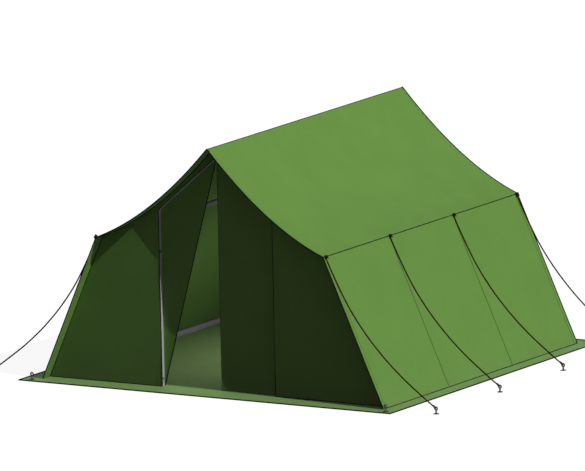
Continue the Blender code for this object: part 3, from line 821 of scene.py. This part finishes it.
def makeSideWalls(cloth):
    half, seams = tent["halfLength"], guyRope["rows"][1:-1]
    foot = Vector((wallX(tent["seat"]), tent["seat"]))
    head = Vector((tent["halfEave"], tent["eave"] - cloth["headDrop"]))
    height, down = (foot - head).length, (foot - head).normalized()
    outline = [(-half, 0), (half, 0), (half, height), (-half, height)]
    hemRows = [end * (half - sewing["hemInset"]) for end in ends.values()]
    for side, sign in sides.items():
        bm = cutCloth(outline, cloth["step"])
        rim = half - tent["wallY"]
        slack(bm, -sign * cloth["slack"], cloth["slackSpacing"], border=rim, seams=seams)
        place = planeFrom((sign * head.x, 0, head.y), (0, 1, 0), (sign * down.x, 0, down.y))
        outward = Vector((sign * -down.y, 0, down.x))
        closeCloth(bm, place, tent["cloth"], outward)
        wall = addPiece(f"side_canvas_{side}", bm, [f"side_wall_{side}"])

        def onWall(y, reach):
            return place @ Vector((y, reach, 0)) + outward * sewing["tapeLift"]

        for kind, rows, material in (("seam", seams, seamCloth), ("hem", hemRows, hemCloth)):
            paths = [[onWall(y, cloth["tapeTop"]), onWall(y, height - sewing["tapeStart"])] for y in rows]
            tape = (tapeWidths[kind], cloth["tapeThickness"], material)
            addTapes(f"side_{kind}s_{side}", paths, (0, 1, 0), *tape)
        uprights = [[onWall(end * half, 0), onWall(end * half, height)] for end in ends.values()]
        addPipe(f"side_bound_edges_{side}", uprights, cloth["pipe"])
        low = [onWall(end * half, height - cloth["footPipeUp"]) for end in ends.values()]
        addPipe(f"side_foot_seam_{side}", [low], cloth["footPipe"])


# End walls: the front in two halves round the doorway, the rear whole
endCloth = {
    "step": 0.12,
    "slack": 0.004,
    "slackSpacing": 1.1,
    "frontMargin": 0.3,  # how far from its edges the cloth stays tight
    "rearMargin": 0.4,
    "roofSteps": 16,
    "tuck": 0.0012,  # how far the top edge is let into the roof seam
    "seamInset": 0.0075,  # from the outer face of the roof or side wall to the middle of a seam
    "seamFoot": 0.002,
    "footReach": 0.004,
    "topGap": 0.02,
    "tapeThickness": 0.0012,
    "doorPipe": 0.0046,
    "doorWidth": 0.665,
    "doorShoulder": 1.81,
    "doorTop": 2.37405,
}
doorLean = (endCloth["doorTop"] - endCloth["doorShoulder"]) / endCloth["doorWidth"]


def halfEnd(cloth):
    # The edge of an end wall under the roof, from the ridge out, and its foot's corner
    xs = [tent["halfEave"] * i / cloth["roofSteps"] for i in range(cloth["roofSteps"] + 1)]
    top = [(x, roofHeight(x) - cloth["tuck"]) for x in xs]
    return [*top, (wallX(tent["seat"]) - sewing["footInset"], tent["seat"])]


def endSeams(cloth, sign, y):
    # Where an end wall meets the roof and a side wall
    steps, inset = cloth["roofSteps"], cloth["seamInset"]
    spots = [roofSpot(roofArc * i / steps, -inset) for i in range(steps + 1)]
    top = [(sign * max(0, x), y, z) for x, z in spots]
    heights = (tent["eave"] - inset, tent["seat"] + cloth["seamFoot"])
    return [top, [(sign * (wallX(z) - inset), y, z) for z in heights]]


def makeFrontWalls(cloth):
    y, seat, width = -tent["wallY"], tent["seat"], cloth["doorWidth"]
    doorway = [(width, seat), (width, cloth["doorShoulder"]), (0, cloth["doorTop"])]
    outline = [*doorway, *halfEnd(cloth)]
    seamY, tapeY = y - sewing["pipeLift"], y - sewing["tapeLift"]
    for side, sign in sides.items():
        bm = cutCloth(outline, cloth["step"])
        slack(bm, -sign * cloth["slack"], cloth["slackSpacing"], cloth["frontMargin"])
        closeCloth(bm, planeFrom((0, y, 0), (sign, 0, 0), (0, 0, 1)), tent["cloth"], (0, -1, 0))
        wall = addPiece(f"front_canvas_{side}", bm, [f"front_wall_{side}"])
        rimPath = [(sign * x, y, z) for x, z in doorway]
        rim = addPipe(f"doorway_binding_{side}", [rimPath], cloth["doorPipe"])
        reaches = (width, wallX(seat) - cloth["footReach"])
        foot = [(sign * x, seamY, seat + sewing["footLift"]) for x in reaches]
        seams = addPipe(f"front_seams_{side}", [*endSeams(cloth, sign, seamY), foot], cloth["doorPipe"])
        inset = tapeWidths["hem"] / 2 + sewing["tapeStart"]
        edge = sign * (width + inset)
        upright = [(edge, tapeY, z) for z in (seat + sewing["tapeStart"], cloth["doorShoulder"])]
        tape = (tapeWidths["hem"], cloth["tapeThickness"], roofHemCloth)
        hems = addTapes(f"doorway_hem_{side}", [upright], (1, 0, 0), *tape)
        polygonArea(outline)


def makeRearWall(cloth):
    y, seat, right = tent["wallY"], tent["seat"], halfEnd(cloth)
    outline = right + [(-x, z) for x, z in right[:0:-1]]
    bm = cutCloth(outline, cloth["step"])
    slack(bm, cloth["slack"], cloth["slackSpacing"], cloth["rearMargin"], seams=(0,))
    closeCloth(bm, planeFrom((0, y, 0), (1, 0, 0), (0, 0, 1)), tent["cloth"], (0, 1, 0))
    wall = addPiece("rear_canvas", bm, ["rear_wall"])
    heights = (seat + sewing["tapeStart"], roofHeight(0) - cloth["topGap"])
    middle = [(0, y + sewing["tapeLift"], z) for z in heights]
    tape = (tapeWidths["seam"], cloth["tapeThickness"], seamCloth)
    seam = addTapes("rear_middle_seam", [middle], (1, 0, 0), *tape)
    seamY, reach = y + sewing["pipeLift"], wallX(seat) - cloth["footReach"]
    edges = [line for sign in sides.values() for line in endSeams(cloth, sign, seamY)]
    edges.append([(x, seamY, seat + sewing["footLift"]) for x in (-reach, reach)])
    bound = addPipe("rear_seams", edges, cloth["doorPipe"])
    polygonArea(outline)


# Door: leaf and flap are one cloth that folds on a line from the door's top to the post's foot
doorCloth = {
    "step": 0.1,
    "leafOuter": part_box("door_leaf_right")[0].y,  # the face towards the front
    "lap": 0.034,
    "low": 0.0083,
    "flapTop": 2.33005,
    "pivot": (0.0, -1.7401, 2.37405),
    "foldAngle": 174.0,
    "bendHalfWidth": 0.010,
    "bendCuts": 4,
    "edgePipe": 0.003,
    "edgeShort": 0.03,  # the bound edge stops this far from the fold
    "foldPipe": 0.0052,
    "creaseShort": 0.004,
    "clear": 0.0008,
}


def foldX(z, offset=0.0):
    lean = endCloth["doorWidth"] / endCloth["doorTop"]
    return (endCloth["doorTop"] - z) * lean + offset * math.hypot(1, lean)


def doorOutlines(cloth):
    lapTop = endCloth["doorTop"] + cloth["lap"] * math.hypot(1, doorLean)
    outerX = endCloth["doorWidth"] + cloth["lap"]
    low, top, gap = cloth["low"], cloth["flapTop"], cloth["clear"] / 2
    leaf = [
        (foldX(low, gap), low),
        (outerX, low),
        (outerX, lapTop - doorLean * outerX),
        (gap, lapTop - doorLean * gap),
        (gap, top + gap),
        (foldX(top + gap, gap), top + gap),
    ]
    flap = [(gap, top), (foldX(top, -gap), top), (foldX(low, -gap), low), (gap, low)]
    return leaf, flap


def foldFrame(cloth, sign):
    # Where the fold starts, its line, and the way from the leaf to the flap
    width, top = endCloth["doorWidth"], endCloth["doorTop"]
    down, towardsFlap = Vector((sign * width, 0, -top)), Vector((-sign * top, 0, -width))
    return Vector(cloth["pivot"]), down.normalized(), towardsFlap.normalized()


def freeEdge(cloth, sign):
    # The flap's upright edge and its foot
    middle = cloth["leafOuter"] + tent["cloth"] / 2
    inset, low = cloth["edgePipe"] + cloth["clear"], cloth["low"] + cloth["edgePipe"]
    spots = [
        (inset, cloth["flapTop"] - cloth["edgeShort"]),
        (inset, low),
        (foldX(cloth["low"]) - cloth["edgeShort"], low),
    ]
    return [(sign * x, middle, z) for x, z in spots]


def makeRightDoor(cloth):
    # Closed: one sheet, which bends along the fold line when its flap opens
    leaf, flap = doorOutlines(cloth)
    whole = [flap[-1], *leaf[1:4]]
    bm = cutCloth(whole, cloth["step"])
    bm.transform(planeFrom((0, cloth["leafOuter"], 0), (1, 0, 0), (0, 0, 1)))
    pivot, _, towardsFlap = foldFrame(cloth, 1)
    reach, cuts = towardsFlap * cloth["bendHalfWidth"], cloth["bendCuts"]
    for i in range(-cuts, cuts + 1):
        cutAcross(bm, pivot + reach * i / cuts, towardsFlap, 1e-6)
    closeCloth(bm, Matrix.Identity(4), tent["cloth"], (0, -1, 0))
    door = addPiece("door_canvas_right", bm, ["door_leaf_right", "door_flap_right"], None)
    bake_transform(door, "tent", "right_flap", pivot - reach, pivot + reach)
    edge = addPipe("door_edge_right", [freeEdge(cloth, 1)], cloth["edgePipe"], "right_flap")
    polygonArea(whole)


def makeLeftDoor(cloth):
    # Open: the flap lies folded back behind its leaf, so the two are separate sheets
    leaf, flap = doorOutlines(cloth)
    pivot, down, _ = foldFrame(cloth, -1)
    folded = Matrix.Rotation(math.radians(cloth["foldAngle"]), 4, -down)
    turned = Matrix.Translation(pivot) @ folded @ Matrix.Translation(-pivot)
    place = planeFrom((0, cloth["leafOuter"], 0), (-1, 0, 0), (0, 0, 1))
    top, short = endCloth["doorTop"], cloth["creaseShort"]
    drops = (top - cloth["flapTop"] + short, top - cloth["low"] - short)
    crease = [pivot + down * drop / -down.z for drop in drops]
    edge = [turned @ Vector(spot) for spot in freeEdge(cloth, -1)]
    rows = (
        ("leaf", leaf, "tent", Matrix.Identity(4), "fold", crease, "rafter_front_left_tube"),
        ("flap", flap, "left_flap", turned, "edge", edge, "door_leaf_canvas_left"),
    )
    for part, outline, body, move, trim, path, support in rows:
        bm = cutCloth(outline, cloth["step"])
        closeCloth(bm, place, tent["cloth"], (0, -1, 0))
        bm.transform(move)
        panel = addPiece(f"door_{part}_canvas_left", bm, [f"door_{part}_left"], body)
        trimmed = addPipe(f"door_{trim}_left", [path], cloth[f"{trim}Pipe"], body)
        polygonArea(outline)


# Cloth on the ground: mud flaps outside the walls and the groundsheet inside
groundCloth = {
    "step": 0.16,
    "top": 0.004,
    "thickness": 0.0032,
    "pipe": 0.0068,
    "ripple": 0.0006,
    "rippleTurns": (9, 4, 11),  # how fast it changes along x and y
    "wrap": 0.004,  # how far the binding reaches round the outer edge
}


def makeGroundCloths(cloth):
    lowX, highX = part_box("mud_flap_left")[0].x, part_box("mud_flap_right")[1].x
    lowY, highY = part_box("mud_flap_front")[0].y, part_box("mud_flap_rear")[1].y
    wrap = cloth["wrap"]
    for name in (*(f"mud_flap_{way}" for way in (*sides, *ends)), "groundsheet"):
        low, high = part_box(name)
        low.x, high.x = max(low.x, lowX + wrap), min(high.x, highX - wrap)
        low.y, high.y = max(low.y, lowY + wrap), min(high.y, highY - wrap)
        outline = [(low.x, low.y), (high.x, low.y), (high.x, high.y), (low.x, high.y)]
        bm = cutCloth(outline, cloth["step"])
        alongX, alongY, crossY = cloth["rippleTurns"]
        for vert in bm.verts:
            wave = math.sin(vert.co.x * alongX + vert.co.y * alongY) * math.cos(vert.co.y * crossY)
            vert.co.z = -cloth["ripple"] * (0.5 + 0.5 * wave)
        closeCloth(bm, Matrix.Translation((0, 0, cloth["top"])), cloth["thickness"], (0, 0, 1))
        isFloor = name == "groundsheet"
        # The groundsheet takes the cloth whose colour holds painted shade
        kind = ("groundsheet_cloth", shadedFloorCloth) if isFloor else ("mud_flap_cloth", coatedCloth)
        piece = addPiece(f"{name}_cloth", bm, [name], "tent", [kind[1]])
        piece.visible_diffuse = isFloor  # mud flaps send no green light up the walls
    rim = cloth["pipe"]
    low, high = (lowX + rim, lowY + rim), (highX - rim, highY - rim)
    corners = (low, (high[0], low[1]), high, (low[0], high[1]))
    path = [(*corner, rim) for corner in corners]
    addPipe("mud_flap_binding", [path], rim, slotName="mud_flap_cloth", closed=True)


# Frame tubes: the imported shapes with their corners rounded, as drawn tube has
tubeShape = {
    "corner": 0.003,
    "segments": 3,
    "sharp": 60,  # degrees between two faces that count as a corner
    "flat": 0.5,  # and between two that are joined into one
    "longEdge": 0.05,
    "merge": 0.00002,
    "smoothAngle": 25,
}
thinTube = dict(tubeShape, corner=0.002, segments=2)  # side hoops and apex joints


def bevelEdges(bm, edges, width, segments, **settings):
    bmesh.ops.bevel(
        bm, geom=edges, offset=width, offset_type="OFFSET", affect="EDGES", segments=segments,
        profile=0.5, material=-1, **settings,
    )


def roundTube(name, shape):
    bm = bmesh.new()
    bm.from_mesh(nodes[name].data)
    bmesh.ops.remove_doubles(bm, verts=bm.verts, dist=shape["merge"])
    flat, sharp = math.radians(shape["flat"]), math.radians(shape["sharp"])
    bmesh.ops.dissolve_limit(bm, angle_limit=flat, verts=bm.verts, edges=bm.edges)
    bm.normal_update()
    outer = [e for e in bm.edges if len(e.link_faces) == 2 and e.calc_face_angle_signed() > sharp]
    corners = [edge for edge in outer if edge.calc_length() > shape["longEdge"]]
    bevelEdges(bm, corners, shape["corner"], shape["segments"], clamp_overlap=True)
    pieceName = f"{name}_tube"
    mesh = meshFrom(pieceName, bm, shape["smoothAngle"])
    addPiece(pieceName, mesh, [name], "tent", [tubeMetal])


def makeFrame():
    for name in sorted(nodes):
        if name.startswith(("ridge_beam", "eave_rail", "floor_rail", "post_front", "post_rear", "rafter")):
            roundTube(name, tubeShape)
        elif name.startswith(("side_hoop", "apex_joint")):
            roundTube(name, thinTube)


# Spring buttons that lock each tube on its plug
button = {"radius": 0.004, "height": 0.0025, "fromEnd": 0.035, "around": 16, "rings": 8}


def makeButtons():
    fromEnd = button["fromEnd"]
    spots = []  # each with the way that it faces along x
    for rail in ("eave_rail_left", "eave_rail_right", "floor_rail_left", "floor_rail_right", "ridge_beam"):
        low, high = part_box(rail)
        faces = -1 if rail.endswith("right") else 1
        for y in (low.y + fromEnd, high.y - fromEnd):
            spots.append(((low if faces < 0 else high).x, y, (low.z + high.z) / 2, faces))
    for end in ends:
        for side, sign in sides.items():
            low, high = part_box(f"post_{end}_{side}")
            inner = low.x if sign > 0 else high.x
            spots.append((inner, (low.y + high.y) / 2, high.z - fromEnd, -sign))
    bm = bmesh.new()
    flatten = Matrix.Diagonal((1, 1, button["height"] / button["radius"], 1))
    dome = {"u_segments": button["around"], "v_segments": button["rings"], "radius": button["radius"]}
    for x, y, z, faces in spots:
        turn = Vector((faces, 0, 0)).to_track_quat("Z", "Y").to_matrix().to_4x4()
        place = Matrix.Translation((x, y, z)) @ turn @ flatten
        bmesh.ops.create_uvsphere(bm, matrix=place, **dome)
    addPiece("spring_buttons", bm, (), "tent", [pegSteel])


# The rubber collar near each post's foot, and webbing straps that tie the front canvas to its posts
collar = {"height": 0.045, "width": 0.005, "thickness": 0.0008}
strap = {"proud": 0.0015, "thickness": 0.0012}
bandCorner = {"radius": 0.0035, "segments": 3}


def addMesh(bm, part):
    copy = bpy.data.meshes.new("part")
    part.to_mesh(copy)
    part.free()
    bm.from_mesh(copy)
    bpy.data.meshes.remove(copy)


def addBand(bm, post, proud, bottom, top, thickness):
    # Round a square tube, standing a little proud of it
    low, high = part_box(post)
    xs, ys = (low.x - proud, high.x + proud), (low.y - proud, high.y + proud)
    band = bmesh.new()
    outline = ((xs[0], ys[0]), (xs[1], ys[0]), (xs[1], ys[1]), (xs[0], ys[1]))
    face = band.faces.new([band.verts.new((x, y, bottom)) for x, y in outline])
    moved = newVerts(bmesh.ops.extrude_face_region(band, geom=[face]))
    bmesh.ops.translate(band, verts=moved, vec=(0, 0, top - bottom))
    band.normal_update()
    caps = [item for item in band.faces if abs(item.normal.z) > 0.5]
    bmesh.ops.delete(band, geom=caps, context="FACES_ONLY")
    uprights = [edge for edge in band.edges if abs(edge.verts[0].co.z - edge.verts[1].co.z) > 1e-4]
    bevelEdges(band, uprights, bandCorner["radius"], bandCorner["segments"])
    bmesh.ops.recalc_face_normals(band, faces=band.faces)
    bmesh.ops.solidify(band, geom=band.faces[:], thickness=thickness)
    bmesh.ops.recalc_face_normals(band, faces=band.faces)
    addMesh(bm, band)


def makeCollars():
    bm = bmesh.new()
    for end in ends:
        for side in sides:
            post = f"post_{end}_{side}"
            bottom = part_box(post)[0].z + collar["height"]
            addBand(bm, post, collar["thickness"], bottom, bottom + collar["width"], collar["thickness"])
    addPiece("post_collars", bm, (), "tent", [rubber])


def makeStraps():
    for side in sides:
        for level in ("upper", "lower"):
            node = f"post_strap_{side}_{level}"
            low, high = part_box(node)
            bm = bmesh.new()
            addBand(bm, f"post_front_{side}", strap["proud"], low.z, high.z, strap["thickness"])
            addPiece(f"{node}_webbing", bm, [node], "tent", [webbing])


# Pegs: a ground disc, a shank and a ring, welded together
pegShape = {
    "disc": 0.030,
    "discHeight": 0.004,
    "shank": 0.0085,
    "weld": 0.0125,
    "segments": 32,
    "ringSegments": 40,
    "wireSegments": 14,
}


def pegMesh(shape):
    top = pegRing["height"] - pegRing["radius"] + pegRing["wire"] / 2
    disc, height, shank = shape["disc"], shape["discHeight"], shape["shank"]
    # Half the outline, with its edges worn off by a millimetre or so and a fillet at the weld
    profile = [
        (0, 0),
        (disc - 0.001, 0),
        (disc, 0.001),
        (disc, height - 0.0012),
        (disc - 0.0012, height),
        (shape["weld"], height),
        (shank + 0.0008, height + 0.0015),
        (shank, height + 0.004),
        (shank, top - 0.006),
        (shank - 0.001, top - 0.001),
        (pegRing["wire"], top + 0.001),
        (0, top + 0.0015),
    ]
    bm = bmesh.new()
    verts = [bm.verts.new((r, 0, z)) for r, z in profile]
    edges = [bm.edges.new(pair) for pair in zip(verts, verts[1:])]
    spinSettings = {"cent": (0, 0, 0), "axis": (0, 0, 1), "angle": 2 * math.pi, "use_merge": True}
    bmesh.ops.spin(bm, geom=verts + edges, steps=shape["segments"], **spinSettings)
    bmesh.ops.remove_doubles(bm, verts=bm.verts, dist=1e-6)
    ring = bmesh.new()
    upright = Matrix.Rotation(math.pi / 2, 4, "X")
    turn = Matrix.Translation((pegRing["radius"], 0, 0)) @ upright
    circle = {"segments": shape["wireSegments"], "radius": pegRing["wire"], "matrix": turn}
    section = bmesh.ops.create_circle(ring, **circle)["verts"]
    wire = list({edge for vert in section for edge in vert.link_edges})
    bmesh.ops.spin(ring, geom=section + wire, steps=shape["ringSegments"], **spinSettings)
    ring.transform(Matrix.Translation((0, 0, pegRing["height"])) @ upright)
    addMesh(bm, ring)
    bmesh.ops.recalc_face_normals(bm, faces=bm.faces)
    return meshFrom("peg", bm)


def makePegs(shape):
    base = pegMesh(shape)
    for name in sorted(nodes):
        if "_peg_" in name:
            low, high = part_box(name)
            mesh = base.copy()
            mesh.transform(Matrix.Translation(((low.x + high.x) / 2, (low.y + high.y) / 2, low.z)))
            addPiece(f"{name}_steel", mesh, [name], "tent", [pegSteel])
    bpy.data.meshes.remove(base)


makeFrame()
makeButtons()
makeCollars()
makeStraps()
makePegs(pegShape)
print("frame, straps and pegs made")
makeRoof(roofCloth)
makeSideWalls(sideCloth)
makeFrontWalls(endCloth)
makeRearWall(endCloth)
makeRightDoor(doorCloth)
makeLeftDoor(doorCloth)
makeGroundCloths(groundCloth)
print("canvas made")


# Floor and background. The camera sees the floor and the world as white; the tent is lit by less.
studio = {
    "floorRadius": 60.0,
    "floorSides": 96,
    "floorDrop": 0.0006,
    "floorGlow": 0.92,  # what the camera sees of the floor beside the lamps' light
    "floorColor": 0.17,
    "floorBounce": 0.06,
    "sky": (0.121, 0.094, 0.151, 1),
}

# Lamps, with angles in degrees. Suns have the place that they shine from as a direction.
insideTint = (1.05, 0.84, 1.12)  # makes up for the green that the cloth sends back
lamps = {
    "key lamp": ("SUN", (0.974, -0.13, 0.83), {"energy": 2.45, "angle": 0.05}),
    # Lifts all that faces the right side, without shadows
    "fill lamp": ("SUN", (1.0, 0.0, 0.12), {"energy": 0.34, "angle": 90, "use_shadow": False}),
    # The same for all that faces the ground
    "lamp from below": (
        "SUN", (0.0, 0.0, -1.0),
        {"energy": 0.3, "angle": 10, "use_shadow": False, "color": (1.0, 0.76, 1.3)},
    ),
    # Light that comes through the roof canvas, as a wide weak lamp under the ridge
    "light through the canvas": (
        "AREA", (-0.65, -0.05, 1.58),
        {
            "shape": "RECTANGLE", "size": 0.7, "size_y": 2.8,
            "energy": 10.7, "spread": 130, "color": insideTint,
        },
    ),
    "glow inside the tent": (
        "POINT", (-0.7, 0.7, 0.9), {"shadow_soft_size": 0.4, "energy": 4.5, "color": insideTint},
    ),
}


def seenByCamera(tree):
    path = addNode(tree, "LightPath")
    seen = path.outputs["Is Camera Ray"]
    for kind in ("Is Glossy Ray", "Is Transmission Ray"):
        seen = addNode(tree, "Math", {0: seen, 1: path.outputs[kind]}, 0, operation="MAXIMUM")
    return seen


def makeFloor(look):
    bm = bmesh.new()
    bmesh.ops.create_circle(bm, cap_ends=True, segments=look["floorSides"], radius=look["floorRadius"])
    bmesh.ops.translate(bm, verts=bm.verts, vec=(0, 0, -look["floorDrop"]))
    mesh = bpy.data.meshes.new("floor")
    bm.to_mesh(mesh)
    bm.free()
    floor = addObject("floor", mesh)
    material = bpy.data.materials.new("pale floor")
    material.use_nodes = True
    tree = material.node_tree
    tree.nodes.clear()
    pale = addNode(tree, "BsdfDiffuse", {"Color": (*[look["floorColor"]] * 3, 1)}, 0)
    glow = addNode(tree, "Emission", {"Strength": look["floorGlow"]}, 0)
    shown = addNode(tree, "AddShader", {0: pale, 1: glow}, 0)
    dull = addNode(tree, "BsdfDiffuse", {"Color": (*[look["floorBounce"]] * 3, 1)}, 0)
    mixed = addNode(tree, "MixShader", {0: seenByCamera(tree), 1: dull, 2: shown}, 0)
    addNode(tree, "OutputMaterial", {"Surface": mixed})
    mesh.materials.append(material)


def makeWorld(look):
    world = bpy.data.worlds.new("plain white")
    scene.world = world
    world.use_nodes = True
    tree = world.node_tree
    tree.nodes.clear()
    shown = {"Factor": seenByCamera(tree), "A": look["sky"], "B": (1, 1, 1, 1)}
    color = addNode(tree, "Mix", shown, "Result", data_type="RGBA")
    background = addNode(tree, "Background", {"Color": color, "Strength": 1.0}, 0)
    addNode(tree, "OutputWorld", {"Surface": background})


def makeLamps(lamps):
    for name, (kind, source, settings) in lamps.items():
        lamp = bpy.data.lights.new(name, kind)
        for setting, value in settings.items():
            setattr(lamp, setting, math.radians(value) if setting in ("angle", "spread") else value)
        placed = addObject(name, lamp)
        if kind == "SUN":
            placed.rotation_mode = "QUATERNION"
            placed.rotation_quaternion = Vector(source).to_track_quat("Z", "Y")
        else:
            placed.location = source
            placed.visible_camera = placed.visible_glossy = False


makeFloor(studio)
makeWorld(studio)
makeLamps(lamps)
print("floor and lamps made")
